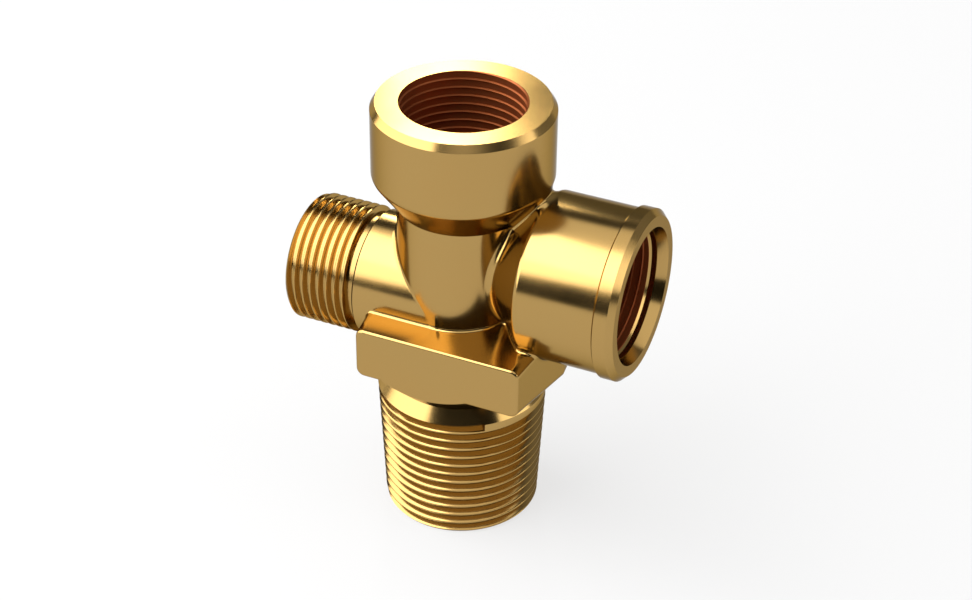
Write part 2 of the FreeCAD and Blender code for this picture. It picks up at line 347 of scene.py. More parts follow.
def outline_field(corners):
    """Signed distance to an outline of (a, b, rounding) corners, with the solid on its right, and the distance's slope."""
    flat = [corner[:2] for corner in corners]
    lines, arcs = [], []
    begin = flat[0]
    for index in range(1, len(corners)):
        end = flat[index]
        if corners[index][2]:
            points, centre = arc_points(flat[index - 1], flat[index], flat[index + 1], corners[index][2], 2)
            lines.append((begin, points[0]))
            arcs.append((points[0], centre, points[-1], corners[index][2]))
            begin = points[-1]
        else:
            lines.append((begin, end))
            begin = end
    normals = []
    for first, last in lines:
        run = np.subtract(last, first)
        normals.append(np.array((-run[1], run[0])) / np.hypot(*run))

    def field(points):
        best = np.full(len(points), 1e9)
        slope = np.zeros((len(points), 2))
        for index, (first, last) in enumerate(lines):
            run = np.subtract(last, first)
            along = (points - first) @ run / (run @ run)
            held = np.clip(along, 0, 1)
            gap = points - (np.array(first) + held[:, None] * run)
            reach = np.hypot(gap[:, 0], gap[:, 1])
            inside = (along > 0) & (along < 1)
            side = (points - first) @ normals[index]
            lean = np.where((along <= 0)[:, None], normals[index] + normals[max(index - 1, 0)], normals[index] + normals[min(index + 1, len(lines) - 1)])
            signed = np.where(inside, side, np.sign(dot(gap, lean)) * reach)
            way = np.where(inside[:, None], normals[index], gap / np.maximum(reach, 1e-9)[:, None] * np.sign(signed)[:, None])
            nearer = reach < np.abs(best) - 1e-7
            best = np.where(nearer, signed, best)
            slope = np.where(nearer[:, None], way, slope)
        for first, centre, last, radius in arcs:
            spoke = points - centre
            span = np.hypot(spoke[:, 0], spoke[:, 1])
            middle = np.add(first, last) / 2 - centre
            middle /= np.hypot(*middle)
            limit = (np.subtract(first, centre) @ middle) / radius
            nearer = (spoke @ middle > limit * span) & (np.abs(span - radius) < np.abs(best) + 1e-7)
            best = np.where(nearer, span - radius, best)
            slope = np.where(nearer[:, None], spoke / np.maximum(span, 1e-9)[:, None], slope)
        return best, slope

    return field


def turned_field(corners):
    """Distance field of a form turned about the stem's axis, from (radius, height, rounding) corners from its foot up."""
    outline = outline_field(corners[::-1])

    def field(points):
        radius = np.hypot(points[:, 0], points[:, 1])
        distance, slope = outline(np.column_stack((radius, points[:, 2])))
        out = points[:, :2] / np.maximum(radius, 1e-9)[:, None]
        return distance, np.column_stack((out * slope[:, :1], slope[:, 1]))

    return field


def level_field(corners, height):
    """Distance field of a form turned about a level axis, from (x, radius, rounding) corners."""
    outline = outline_field(corners)

    def field(points):
        across = np.column_stack((points[:, 1], points[:, 2] - height))
        radius = np.hypot(across[:, 0], across[:, 1])
        distance, slope = outline(np.column_stack((points[:, 0], radius)))
        out = across / np.maximum(radius, 1e-9)[:, None]
        return distance, np.column_stack((slope[:, 0], out * slope[:, 1:]))

    return field


def round_union(one, other, radius):
    """The two fields joined, with the fillet that a ball of this radius would leave between them."""
    def field(points):
        a, da = one(points)
        b, db = other(points)
        reach = radius * (1 - dot(da, db))
        ra, rb = np.maximum(reach - a, 0), np.maximum(reach - b, 0)
        eased = (ra > 0) & (rb > 0)
        size = np.hypot(ra, rb)
        distance = np.where(eased, reach - size, np.minimum(a, b))
        blend = (ra[:, None] * da + rb[:, None] * db) / np.maximum(size, 1e-9)[:, None]
        slope = np.where(eased[:, None], blend, np.where((a < b)[:, None], da, db))
        return distance, slope

    return field


def round_common(one, other, radius):
    """What the two fields share, with a radius on the edge between them."""
    def field(points):
        a, da = one(points)
        b, db = other(points)
        ra, rb = np.maximum(radius + a, 0), np.maximum(radius + b, 0)
        eased = (ra > 0) & (rb > 0)
        size = np.hypot(ra, rb)
        distance = np.where(eased, size - radius, np.maximum(a, b))
        blend = (ra[:, None] * da + rb[:, None] * db) / np.maximum(size, 1e-9)[:, None]
        slope = np.where(eased[:, None], blend, np.where((a > b)[:, None], da, db))
        return distance, slope

    return field


def both_sides(normal, offset):
    """Field of the two planes that mirror each other about the parting plane."""
    normal = np.array(normal, float)
    normal /= np.linalg.norm(normal)

    def field(points):
        turned_over = np.sign(points[:, 1])
        folded = points.copy()
        folded[:, 1] = np.abs(points[:, 1])
        slope = np.tile(normal, (len(points), 1))
        slope[:, 1] *= turned_over
        return folded @ normal - offset * normal[np.argmax(np.abs(normal))], slope

    return field


# ---------------------------------------------------------------- the body's forms

def neck_outline(s):
    """Corners of the neck and collar, from the middle of the block up."""
    return [
        (0, s.block_bottom + s.block_height / 2, 0),
        (s.neck_radius, s.block_bottom + s.block_height / 2, 0),
        (s.neck_radius, s.neck_top, 0),
        (s.collar_radius, s.collar_bottom, s.collar_edge),
        (s.collar_radius, s.body_height - s.collar_chamfer_depth, 0),
        (s.collar_radius - s.collar_chamfer_width, s.body_height, 0),
        (0, s.body_height, 0),
    ]


def outlet_outline(s):
    """Corners of the outlet, from its end face inwards."""
    groove_end = s.block_outlet_side + block_growth(s) + s.outlet_stand_off
    thread_end = groove_end + s.outlet_groove_width
    return [
        (-s.outlet_reach, 0, 0),
        (-s.outlet_reach, s.outlet_radius - s.outlet_chamfer, 0),
        (s.outlet_chamfer - s.outlet_reach, s.outlet_radius, 0),
        (-thread_end, s.outlet_radius, 0),
        (-thread_end, s.outlet_groove_radius, 0),
        (-groove_end, s.outlet_groove_radius, 0),
        (-groove_end, s.outlet_shank_radius - s.outlet_shank_chamfer, 0),
        (s.outlet_shank_chamfer - groove_end, s.outlet_shank_radius, 0),
        (0, s.outlet_shank_radius, 0),
        (0, 0, 0),
    ]


def port_outline(s):
    """Corners of the side port, from the tip of its cone outwards."""
    rim = s.port_reach - s.port_rim_width
    return [
        (s.port_root - s.port_radius, 0, 0),
        (s.port_root, s.port_radius, s.port_back_edge),
        (rim, s.port_radius, 0),
        (rim + s.port_rim_step, s.port_rim_radius, 0),
        (s.port_reach - s.port_rim_chamfer, s.port_rim_radius, 0),
        (s.port_reach, s.port_rim_radius - s.port_rim_chamfer, 0),
        (s.port_reach, 0, 0),
    ]


def foot_radius(s):
    """Crest radius of the stem at the top of its foot chamfer."""
    return s.stem_radius - (s.stem_length - s.foot_chamfer_depth) * s.stem_taper / 2


def stem_outline(s):
    """Corners of the stem before its thread is cut; its neck cone ends inside the flare."""
    neck = s.stem_length + s.stem_neck_rise
    fall = (s.stem_radius - s.stem_neck_radius) / s.stem_neck_rise
    return [
        (0, 0, 0),
        (foot_radius(s) - s.foot_chamfer_width, 0, 0),
        (foot_radius(s), s.foot_chamfer_depth, 0),
        (s.stem_radius, s.stem_length, 0),
        (s.stem_neck_radius - fall, neck + 1, 0),
        (0, neck + 1, 0),
    ]


def flare_outline(s):
    """Corners of the flare; its cone starts inside the stem's neck."""
    neck = s.stem_length + s.stem_neck_rise
    rise = (s.flare_radius - s.stem_neck_radius) / (s.block_bottom - neck)
    return [
        (0, neck - 1, 0),
        (s.stem_neck_radius - rise, neck - 1, 0),
        (s.flare_radius, s.block_bottom, 0),
        (s.flare_radius, s.block_bottom + s.block_height / 2, 0),
        (0, s.block_bottom + s.block_height / 2, 0),
    ]


def eased(corners, steps=8):
    """The corners as plain points, with arcs in place of the rounded ones."""
    points = []
    for index, (a, b, rounding) in enumerate(corners):
        if rounding:
            points += arc_points(corners[index - 1][:2], (a, b), corners[index + 1][:2], rounding, steps)[0]
        else:
            points.append((a, b))
    return points


def ringed(points, low, high, gap, along):
    """The points with more between them, a gap apart, where the outline runs between two places."""
    dense = [points[0]]
    for before, after in zip(points, points[1:]):
        run = abs(after[along] - before[along])
        if run > gap and min(before[along], after[along]) < high and max(before[along], after[along]) > low:
            steps = math.ceil(run / gap)
            for step in range(1, steps):
                place = tuple(a + (b - a) * step / steps for a, b in zip(before, after))
                if low < place[along] < high:
                    dense.append(place)
        dense.append(after)
    return dense


def gridded(piece, gap):
    """Cuts a grid into a piece's faces, for the junctions that will cross them."""
    only(piece)
    bpy.ops.object.mode_set(mode="EDIT")
    low, high = Vector((1e9,) * 3), Vector((-1e9,) * 3)
    for vertex in piece.data.vertices:
        low, high = Vector(map(min, low, vertex.co)), Vector(map(max, high, vertex.co))
    for axis in range(3):
        normal = Vector((0, 0, 0))
        normal[axis] = 1
        for step in range(1, math.floor((high[axis] - low[axis]) / gap)):
            place = low.copy()
            place[axis] += (step + 0.37) * gap
            bpy.ops.mesh.select_all(action="SELECT")
            bpy.ops.mesh.bisect(plane_co=place, plane_no=normal, threshold=1e-5)
    bpy.ops.object.mode_set(mode="OBJECT")


def block_growth(s):
    """How far each drafted face stands out at the parting plane."""
    return s.block_flats / 2 * math.tan(s.block_draft)


def choose(piece, kind, test):
    """Selects the edges or faces whose middle passes a test, in edit mode."""
    bpy.ops.mesh.select_mode(type=kind)
    bpy.ops.mesh.select_all(action="DESELECT")
    mesh = bmesh.from_edit_mesh(piece.data)
    for part in mesh.edges if kind == "EDGE" else mesh.faces:
        ends = [vertex.co for vertex in part.verts]
        part.select_set(test(ends))
    mesh.select_flush_mode()
    bmesh.update_edit_mesh(piece.data)


def block(s):
    """The drafted spanner block with its rounded corners and eased flats."""
    half, growth = s.block_flats / 2, block_growth(s)
    wide, high = s.block_outlet_side + s.block_port_side, s.block_height
    middle = Vector(((s.block_port_side - s.block_outlet_side) / 2, 0, s.block_bottom + high / 2))
    nothing_selected()
    bpy.ops.mesh.primitive_cube_add(size=1, location=middle, scale=(wide, s.block_flats, high))
    piece = bpy.context.object
    piece.name = "block"
    bpy.ops.object.transform_apply(location=True, rotation=False, scale=True)
    bpy.ops.object.mode_set(mode="EDIT")
    bpy.ops.mesh.select_all(action="SELECT")
    bpy.ops.mesh.bisect(plane_co=middle, plane_no=(0, 1, 0), threshold=1e-5)
    choose(piece, "EDGE", lambda ends: all(abs(end.y) < 1e-4 for end in ends))
    bpy.ops.transform.resize(value=((wide + 2 * growth) / wide, 1, (high + 2 * growth) / high), center_override=middle)
    choose(piece, "EDGE", lambda ends: abs(ends[0].y - ends[1].y) > 1)
    bpy.ops.mesh.bevel(offset=s.block_corner, offset_type="OFFSET", segments=8, profile=0.5)
    choose(piece, "EDGE", lambda ends: all(abs(abs(end.y) - half) < 1e-3 for end in ends))
    bpy.ops.mesh.bevel(offset=s.block_edge, offset_type="OFFSET", segments=5, profile=0.5)
    bpy.ops.object.mode_set(mode="OBJECT")
    close_skin(piece)
    return piece


def flare(s):
    """The cone between the stem and the block, cut off just inside the block's sides."""
    piece = turned("flare", eased(flare_outline(s)), s.turning_steps)
    half, growth, inset = s.block_flats / 2, block_growth(s), 0.004
    bpy.ops.object.mode_set(mode="EDIT")
    cuts = []
    for side, reach in ((-1, s.block_outlet_side), (1, s.block_port_side)):
        for turn in (-1, 1):
            cuts.append((Vector((side * (reach - inset), turn * half, 0)), Vector((side * half, turn * growth, 0)).normalized()))
    cuts += [(Vector((0, turn * (half - inset), 0)), Vector((0, turn, 0))) for turn in (-1, 1)]
    for place, normal in cuts:
        bpy.ops.mesh.select_all(action="SELECT")
        bpy.ops.mesh.bisect(plane_co=place, plane_no=normal, use_fill=True, clear_outer=True, threshold=1e-5)
    bpy.ops.object.mode_set(mode="OBJECT")
    close_skin(piece)
    return piece


def forged_fields(s):
    """Distance fields of the neck, outlet, port, block and flare."""
    half, tilt = s.block_flats / 2, math.tan(s.block_draft)
    growth = half * tilt
    low, high = s.block_bottom, s.block_bottom + s.block_height
    sides = [
        both_sides((1, tilt, 0), s.block_port_side + growth),
        both_sides((-1, tilt, 0), -s.block_outlet_side - growth),
        both_sides((0, tilt, 1), high + growth),
        both_sides((0, tilt, -1), low - growth),
    ]
    flats = both_sides((0, 1, 0), half)
    corner = s.block_corner
    along = lambda one, other: round_common(one, other, corner)
    across = along(round_common(sides[0], sides[1], 0), round_common(sides[2], sides[3], 0))
    the_block = round_common(across, flats, s.block_edge)
    plan = round_common(round_common(sides[0], sides[1], 0), flats, 0)
    the_flare = round_common(turned_field(flare_outline(s)), plan, 0)
    return SimpleNamespace(
        neck=turned_field(neck_outline(s)),
        outlet=level_field(outlet_outline(s), s.outlet_height),
        port=level_field(port_outline(s), s.port_height),
        block=the_block,
        flare=the_flare,
        stem=turned_field(stem_outline(s)),
    )


def forging(s):
    """The forged forms joined and eased, and the field of their skin."""
    gap = s.fillet_grain * 1.4
    neck = ringed(eased(neck_outline(s)), s.block_bottom, s.collar_bottom, gap, 1)
    port = ringed(eased(port_outline(s)), s.neck_radius * 0.5, s.block_port_side + 3, gap, 0)
    outlet = ringed(eased(outlet_outline(s)), -s.block_outlet_side - 3, -s.neck_radius * 0.5, gap, 0)
    body = turned("valve_body_polished", neck, s.turning_steps)
    combine(body, turned_level("port", port, s.port_height, s.turning_steps), "UNION")
    combine(body, turned_level("outlet", outlet, s.outlet_height, s.turning_steps), "UNION")
    spanner = block(s)
    gridded(spanner, gap * 1.2)
    combine(body, spanner, "UNION")
    combine(body, flare(s), "UNION")
    return body, ease_junctions(body, s)


def chamber_outline(s):
    """Corners of the seat hole and the chamber, up into the threaded bore."""
    return [
        (0, s.chamber_floor - s.seat_drop, 0),
        (s.seat_radius, s.chamber_floor - s.seat_drop, 0),
        (s.seat_radius, s.chamber_floor, 0),
        (s.chamber_radius, s.chamber_floor, 0),
        (s.chamber_radius, s.body_height - s.spindle_depth + 1, 0),
        (0, s.body_height - s.spindle_depth + 1, 0),
    ]


def spindle_mouth_outline(s):
    """Corners of the countersink that breaks the edge of the spindle bore."""
    foot = s.body_height - s.spindle_chamfer
    return [(0, foot - 1, 0), (s.bore_radius - 1, foot - 1, 0), (s.bore_radius + 1.2, foot + 1.2, 0), (0, foot + 1.2, 0)]


def inlet_outline(s):
    """Corners of the inlet drill and its point."""
    top = s.chamber_floor - s.seat_drop
    return [(0, -1, 0), (s.inlet_radius, -1, 0), (s.inlet_radius, top, 0), (0, top + s.inlet_radius, 0)]


def outlet_bore_outline(s):
    """Corners of the outlet's passage and its sealing cone."""
    cone = s.outlet_seat - s.outlet_bore
    return [
        (-s.outlet_reach - 1, 0, 0),
        (-s.outlet_reach - 1, s.outlet_seat + 1, 0),
        (cone - s.outlet_reach, s.outlet_bore, 0),
        (0, s.outlet_bore, 0),
        (0, 0, 0),
    ]


def port_bore_outline(s):
    """Corners of the side port's passage, its drill cone and its stepped mouth."""
    floor = s.port_reach - s.port_bore_depth
    taper = (s.bore_radius - s.port_passage) * math.tan(math.radians(30))
    lead = s.port_recess_radius - s.bore_radius
    step = (s.port_mouth_radius - s.port_recess_radius) / 4
    slope = (s.port_mouth_radius - s.port_recess_radius - step) / s.port_mouth_depth
    core = s.bore_radius - 0.4
    return [
        (0, 0, 0),
        (0, s.port_passage, 0),
        (floor - taper, s.port_passage, 0),
        (floor - taper + (core - s.port_passage) * math.tan(math.radians(30)), core, 0),
        (s.port_reach - s.port_recess_depth - lead - 0.4, core, 0),
        (s.port_reach - s.port_recess_depth, s.port_recess_radius, 0),
        (s.port_reach - s.port_mouth_depth, s.port_recess_radius, 0),
        (s.port_reach - s.port_mouth_depth, s.port_recess_radius + step, 0),
        (s.port_reach + 1, s.port_mouth_radius + slope, 0),
        (s.port_reach + 1, 0, 0),
    ]


def thread_die(name, rod, radius, low, high):
    """A ring whose hole is the rod's thread, to cut that thread on a plain form."""
    nothing_selected()
    bpy.ops.mesh.primitive_cylinder_add(vertices=64, radius=radius, depth=high - low, location=(0, 0, (low + high) / 2))
    ring = bpy.context.object
    ring.name = name
    bpy.ops.object.transform_apply(location=True, rotation=False, scale=False)
    combine(ring, rod, "DIFFERENCE")
    return ring


def lay_level(piece, height, side):
    """Turns a form from the stem's axis to a level one that points to the outlet or to the port."""
    only(piece)
    piece.rotation_euler = (0, side * math.pi / 2, 0)
    piece.location = (0, 0, height)
    bpy.ops.object.transform_apply(location=True, rotation=True, scale=False)


def stem_groove(s):
    """The taper thread's groove as a coil, which stops short at its upper end."""
    crest_share, root_share = 0.10, 0.16
    flank = (1 - crest_share - root_share) / 2
    depth = s.stem_depth + 0.02
    side = [(s.stem_pitch * (root_share / 2 + flank * along), s.stem_radius - s.stem_depth + rise * depth) for along, rise in FINE_FLANK]
    side.append((side[-1][0], s.stem_radius + 3))
    section = [(-across, radius) for across, radius in reversed(side)] + side
    turns = math.ceil(s.stem_groove_top / s.stem_pitch) + 2
    start = s.stem_groove_top - turns * s.stem_pitch
    points = [Vector((radius, 0, start + across)) for across, radius in section]
    piece = start_line("stem_groove", points[0])
    draw_line(points + points[:1])
    bpy.ops.mesh.select_all(action="SELECT")
    bpy.ops.mesh.remove_doubles(threshold=1e-4)
    bpy.ops.object.mode_set(mode="OBJECT")
    bpy.ops.object.modifier_add(type="SCREW")
    screw = piece.modifiers[-1]
    screw.axis = "Z"
    screw.angle = math.tau
    screw.screw_offset = s.stem_pitch
    screw.iterations = turns
    screw.steps = screw.render_steps = s.thread_steps
    screw.use_merge_vertices = False
    bpy.ops.object.modifier_apply(modifier=screw.name)
    piece.rotation_euler = (0, 0, s.stem_run_out)
    bpy.ops.object.transform_apply(location=False, rotation=True, scale=False)
    bpy.ops.object.mode_set(mode="EDIT")
    bpy.ops.mesh.select_all(action="DESELECT")
    bpy.ops.mesh.select_non_manifold()
    bpy.ops.mesh.fill_holes(sides=0)
    bpy.ops.mesh.select_all(action="SELECT")
    bpy.ops.mesh.normals_make_consistent(inside=False)
    bpy.ops.object.mode_set(mode="OBJECT")
    for vertex in piece.data.vertices:
        vertex.co.xy *= 1 - (s.stem_length - vertex.co.z) * s.stem_taper / 2 / s.stem_radius
    return piece


def threaded_stem(s):
    """The taper stem with its thread cut."""
    piece = turned("stem", eased(stem_outline(s)), s.turning_steps)
    combine(piece, stem_groove(s), "DIFFERENCE")
    return piece


def cut_outlet_thread(piece, s):
    """Cuts the outlet's thread up to the groove."""
    groove_end = s.block_outlet_side + block_growth(s) + s.outlet_stand_off
    inner = groove_end + s.outlet_groove_width / 2
    rod = threaded_rod("outlet_thread", s.outlet_radius + 0.02, s.outlet_radius - s.outlet_depth, s.pitch, inner - 1, s.outlet_reach + 2, s.thread_steps, 0.14, 0.22, FINE_FLANK)
    die = thread_die("outlet_die", rod, s.outlet_radius + 1.5, inner, s.outlet_reach + 1)
    lay_level(die, s.outlet_height, -1)
    combine(piece, die, "DIFFERENCE")


def bore_out(piece, s):
    """Cuts the passages, the chamber and both inner threads."""
    combine(piece, turned("chamber", eased(chamber_outline(s)), 96), "DIFFERENCE")
    spindle = threaded_rod("spindle_thread", s.bore_major, s.bore_radius, s.pitch, s.body_height - s.spindle_depth, s.body_height + 1, s.bore_steps, 0.76, 0.06, PLAIN_FLANK)
    combine(piece, spindle, "DIFFERENCE")
    combine(piece, turned("spindle_mouth", eased(spindle_mouth_outline(s)), s.turning_steps), "DIFFERENCE")
    combine(piece, turned("inlet", eased(inlet_outline(s)), 96), "DIFFERENCE")
    combine(piece, turned_level("outlet_bore", eased(outlet_bore_outline(s)), s.outlet_height, 96), "DIFFERENCE")
    combine(piece, turned_level("port_bore", eased(port_bore_outline(s)), s.port_height, s.turning_steps), "DIFFERENCE")
    floor = s.port_reach - s.port_bore_depth
    thread = threaded_rod("port_thread", s.bore_major, s.bore_radius, s.pitch, floor, s.port_reach - s.port_recess_depth + 0.4, s.bore_steps, 0.76, 0.06, PLAIN_FLANK)
    lay_level(thread, s.port_height, 1)
    combine(piece, thread, "DIFFERENCE")


def places(piece):
    """The piece's points as rows of numbers."""
    flat = np.empty(len(piece.data.vertices) * 3)
    piece.data.vertices.foreach_get("co", flat)
    return flat.reshape(-1, 3)


def split_near(piece, near, longest):
    """Splits the faces near the junctions until their edges are short."""
    mesh = bmesh.new()
    mesh.from_mesh(piece.data)
    bmesh.ops.triangulate(mesh, faces=mesh.faces[:], ngon_method="BEAUTY")
    waiting = mesh.edges[:]
    for _ in range(3):
        waiting = [edge for edge in waiting if edge.is_valid and edge.calc_length() > longest]
        if not waiting:
            break
        ends = np.array([[tuple(vertex.co) for vertex in edge.verts] for edge in waiting])
        found = np.zeros(len(waiting), bool)
        for along in (0, 0.2, 0.4, 0.6, 0.8, 1):
            found |= near(ends[:, 0] * (1 - along) + ends[:, 1] * along)
        chosen = [edge for edge, hit in zip(waiting, found) if hit]
        if not chosen:
            break
        made = bmesh.ops.subdivide_edges(mesh, edges=chosen, cuts=1, use_single_edge=True)
        fresh = {part for part in made["geom"] if isinstance(part, bmesh.types.BMEdge)} | set(chosen)
        wide = [face for face in mesh.faces if len(face.verts) > 3]
        fresh |= set(bmesh.ops.triangulate(mesh, faces=wide)["edges"])
        waiting = [edge for edge in fresh if edge.is_valid]
    mesh.to_mesh(piece.data)
    mesh.free()


def tidy_flat_parts(piece, near):
    """Joins faces that lie in one plane, away from the junctions."""
    mesh = bmesh.new()
    mesh.from_mesh(piece.data)
    close = near(np.array([tuple(vertex.co) for vertex in mesh.verts]))
    away = [vertex for vertex, hit in zip(mesh.verts, close) if not hit]
    spared = set(away)
    edges = [edge for edge in mesh.edges if edge.verts[0] in spared and edge.verts[1] in spared]
    bmesh.ops.dissolve_limit(mesh, angle_limit=math.radians(0.2), use_dissolve_boundaries=False, verts=away, edges=edges, delimit={"NORMAL"})
    mesh.to_mesh(piece.data)
    mesh.free()


def ease_junctions(piece, s):
    """Gives the forged forms their radii where they meet, and returns the field of the eased skin."""
    forms = forged_fields(s)
    with_outlet = round_union(forms.neck, forms.outlet, s.neck_outlet_fillet)
    upper = round_union(with_outlet, forms.port, s.neck_port_fillet)
    eased_skin = round_union(upper, forms.block, s.block_fillet)
    skin = round_union(round_union(eased_skin, forms.flare, 0), forms.stem, 0)

    def near(points):
        fields = [form(points) for form in (forms.neck, forms.outlet, forms.port, forms.block)]
        close = np.zeros(len(points), bool)
        for one, other, radius in ((0, 1, s.neck_outlet_fillet), (0, 2, s.neck_port_fillet), (0, 3, s.block_fillet), (1, 3, s.block_fillet), (2, 3, s.block_fillet)):
            (a, da), (b, db) = fields[one], fields[other]
            close |= np.maximum(a, b) < radius * (1.3 - dot(da, db))
        return close & (np.min([distance for distance, slope in fields], axis=0) > -0.05)

    split_near(piece, near, s.fillet_grain)
    points = places(piece)
    crisp = np.min([form(points)[0] for form in (forms.neck, forms.outlet, forms.port, forms.block, forms.flare, forms.stem)], axis=0)
    moved = (np.abs(crisp) < 0.02) & (skin(points)[0] < crisp - 1e-5)
    settled = points[moved]
    for _ in range(14):
        distance, slope = skin(settled)
        step = distance / np.maximum(dot(slope, slope), 0.05)
        settled -= np.clip(step, -0.35, 0.35)[:, None] * slope
    points[moved] = settled
    piece.data.vertices.foreach_set("co", points.ravel())
    piece.data.update()
    tidy_flat_parts(piece, near)
    return skin


def shade_by_skin(piece, s, skin):
    """Gives the outer skin the normals of its true form, and the threads and bores smooth ones."""
    only(piece)
    bpy.ops.object.shade_smooth_by_angle(angle=math.radians(38))
    mesh = piece.data
    corner_count = len(mesh.loops)
    normals = np.empty(corner_count * 3)
    mesh.corner_normals.foreach_get("vector", normals)
    normals = normals.reshape(-1, 3)
    holder = np.empty(corner_count, int)
    mesh.loops.foreach_get("vertex_index", holder)
    totals = np.empty(len(mesh.polygons), int)
    mesh.polygons.foreach_get("loop_total", totals)
    facing = np.empty(len(mesh.polygons) * 3)
    mesh.polygons.foreach_get("normal", facing)
    middles = np.empty(len(mesh.polygons) * 3)
    mesh.polygons.foreach_get("center", middles)
    facing = np.repeat(facing.reshape(-1, 3), totals, axis=0)
    middles = np.repeat(middles.reshape(-1, 3), totals, axis=0)
    corners = places(piece)[holder]
    inwards = middles - corners
    gap = np.linalg.norm(inwards, axis=1)
    probe = corners + inwards * np.minimum(0.3, 0.02 / np.maximum(gap, 1e-6))[:, None]
    distance, slope = skin(probe)
    slope /= np.maximum(np.linalg.norm(slope, axis=1), 1e-9)[:, None]
    plain = (probe[:, 2] > s.stem_length + 0.001) & (probe[:, 0] > -(s.block_outlet_side + block_growth(s) + s.outlet_stand_off))
    true_form = plain & (np.abs(distance) < 0.03) & (dot(slope, facing) > 0.75)
    normals[true_form] = slope[true_form]
    mesh.normals_split_custom_set([tuple(normal) for normal in normals])


# ---------------------------------------------------------------- finish

def node(tree, kind, place, **values):
    """A node at a place, with some of its settings and sockets given."""
    made = tree.nodes.new(kind)
    made.location = place
    for name, value in values.items():
        if hasattr(made, name):
            setattr(made, name, value)
        else:
            made.inputs[name.replace("_", " ")].default_value = value
    return made


def bore_mask(tree, place, s):
    """A socket that is one inside the two threaded bores and nought elsewhere; it places their painted shade, rougher
    polish and lower share of metal.
    """
    masks = []
    bores = (
        ((1, 1, 0), (0, 0, 0), 2, s.body_height - s.spindle_depth - 0.5, s.body_height - 0.02),
        ((0, 1, 1), (0, 0, s.port_height), 0, s.port_reach - s.port_bore_depth - 3, s.port_reach - s.port_recess_depth - 0.05),
    )
    for index, (across, centre, axis, low, high) in enumerate(bores):
        height = -500 - 300 * index
        centred = node(tree, "ShaderNodeVectorMath", (-700, height), operation="SUBTRACT")
        centred.inputs[1].default_value = [value * METRE for value in centre]
        flat = node(tree, "ShaderNodeVectorMath", (-550, height), operation="MULTIPLY")
        flat.inputs[1].default_value = across
        radius = node(tree, "ShaderNodeVectorMath", (-400, height), operation="LENGTH")
        inside = node(tree, "ShaderNodeMath", (-250, height), operation="LESS_THAN")
        inside.inputs[1].default_value = (s.bore_major + 0.03) * METRE
        split = node(tree, "ShaderNodeSeparateXYZ", (-700, height - 150))
        above = node(tree, "ShaderNodeMath", (-400, height - 150), operation="GREATER_THAN")
        above.inputs[1].default_value = low * METRE
        below = node(tree, "ShaderNodeMath", (-250, height - 150), operation="LESS_THAN")
        below.inputs[1].default_value = high * METRE
        both = node(tree, "ShaderNodeMath", (-100, height), operation="MULTIPLY")
        mask = node(tree, "ShaderNodeMath", (50, height), operation="MULTIPLY")
        tree.links.new(place.outputs["Object"], centred.inputs[0])
        tree.links.new(centred.outputs[0], flat.inputs[0])
        tree.links.new(flat.outputs[0], radius.inputs[0])
        tree.links.new(radius.outputs["Value"], inside.inputs[0])
        tree.links.new(place.outputs["Object"], split.inputs[0])
        tree.links.new(split.outputs[axis], above.inputs[0])
        tree.links.new(split.outputs[axis], below.inputs[0])
        tree.links.new(inside.outputs[0], both.inputs[0])
        tree.links.new(above.outputs[0], both.inputs[1])
        tree.links.new(both.outputs[0], mask.inputs[0])
        tree.links.new(below.outputs[0], mask.inputs[1])
        masks.append(mask)
    either = node(tree, "ShaderNodeMath", (200, -500), operation="MAXIMUM")
    for socket, mask in zip(either.inputs, masks):
        tree.links.new(mask.outputs[0], socket)
    return either.outputs[0]


def brass_material(finish, s):
    """Polished brass with faint patches, fine polishing marks and warmer tones, and painted dark red-brown shade in the
    threaded bores.
    """
    material = bpy.data.materials.new("polished_brass")
    material.use_nodes = True
    tree = material.node_tree
    tree.nodes.clear()
    link = tree.links.new
    out = node(tree, "ShaderNodeOutputMaterial", (700, 0))
    shader = node(tree, "ShaderNodeBsdfPrincipled", (400, 0), Metallic=1.0, Specular_Tint=finish.edge_tone)
    place = node(tree, "ShaderNodeTexCoord", (-900, 0))
    patches = node(tree, "ShaderNodeTexNoise", (-600, 200), Scale=70.0, Detail=3.0, Roughness=0.55)
    marks = node(tree, "ShaderNodeTexNoise", (-600, -200), Scale=2600.0, Detail=4.0, Roughness=0.6)
    tint = node(tree, "ShaderNodeMix", (-200, 200), data_type="RGBA")
    tint.inputs[6].default_value = finish.brass
    tint.inputs[7].default_value = finish.brass_warm
    dull = node(tree, "ShaderNodeMapRange", (-200, -50), From_Min=0.3, From_Max=0.7, To_Min=finish.roughness * 0.85, To_Max=finish.roughness * 1.15)
    bores = bore_mask(tree, place, s)
    # Painted shade: inside the threaded bores the colour turns dark red-brown, standing in for their shade and inner
    # reflections.
    bore_shade_mix = node(tree, "ShaderNodeMix", (50, 200), data_type="RGBA")
    bore_shade_mix.inputs[7].default_value = finish.bore_painted_shade
    rough = node(tree, "ShaderNodeMix", (50, -50), data_type="FLOAT")
    rough.inputs[3].default_value = finish.bore_roughness
    shine = node(tree, "ShaderNodeMapRange", (50, 50), From_Min=0.0, From_Max=1.0, To_Min=1.0, To_Max=finish.bore_shine)
    bump = node(tree, "ShaderNodeBump", (-200, -300), Strength=finish.grain, Distance=0.00002)
    link(place.outputs["Object"], patches.inputs["Vector"])
    link(place.outputs["Object"], marks.inputs["Vector"])
    link(patches.outputs["Fac"], tint.inputs[0])
    link(patches.outputs["Fac"], dull.inputs["Value"])
    link(marks.outputs["Fac"], bump.inputs["Height"])
    link(bores, bore_shade_mix.inputs[0])
    link(tint.outputs[2], bore_shade_mix.inputs[6])
    link(bore_shade_mix.outputs[2], shader.inputs["Base Color"])
    link(bores, rough.inputs[0])
    link(dull.outputs["Result"], rough.inputs[2])
    link(rough.outputs[0], shader.inputs["Roughness"])
    link(bores, shine.inputs["Value"])
    link(shine.outputs["Result"], shader.inputs["Metallic"])
    link(bump.outputs["Normal"], shader.inputs["Normal"])
    link(shader.outputs["BSDF"], out.inputs["Surface"])
    return material


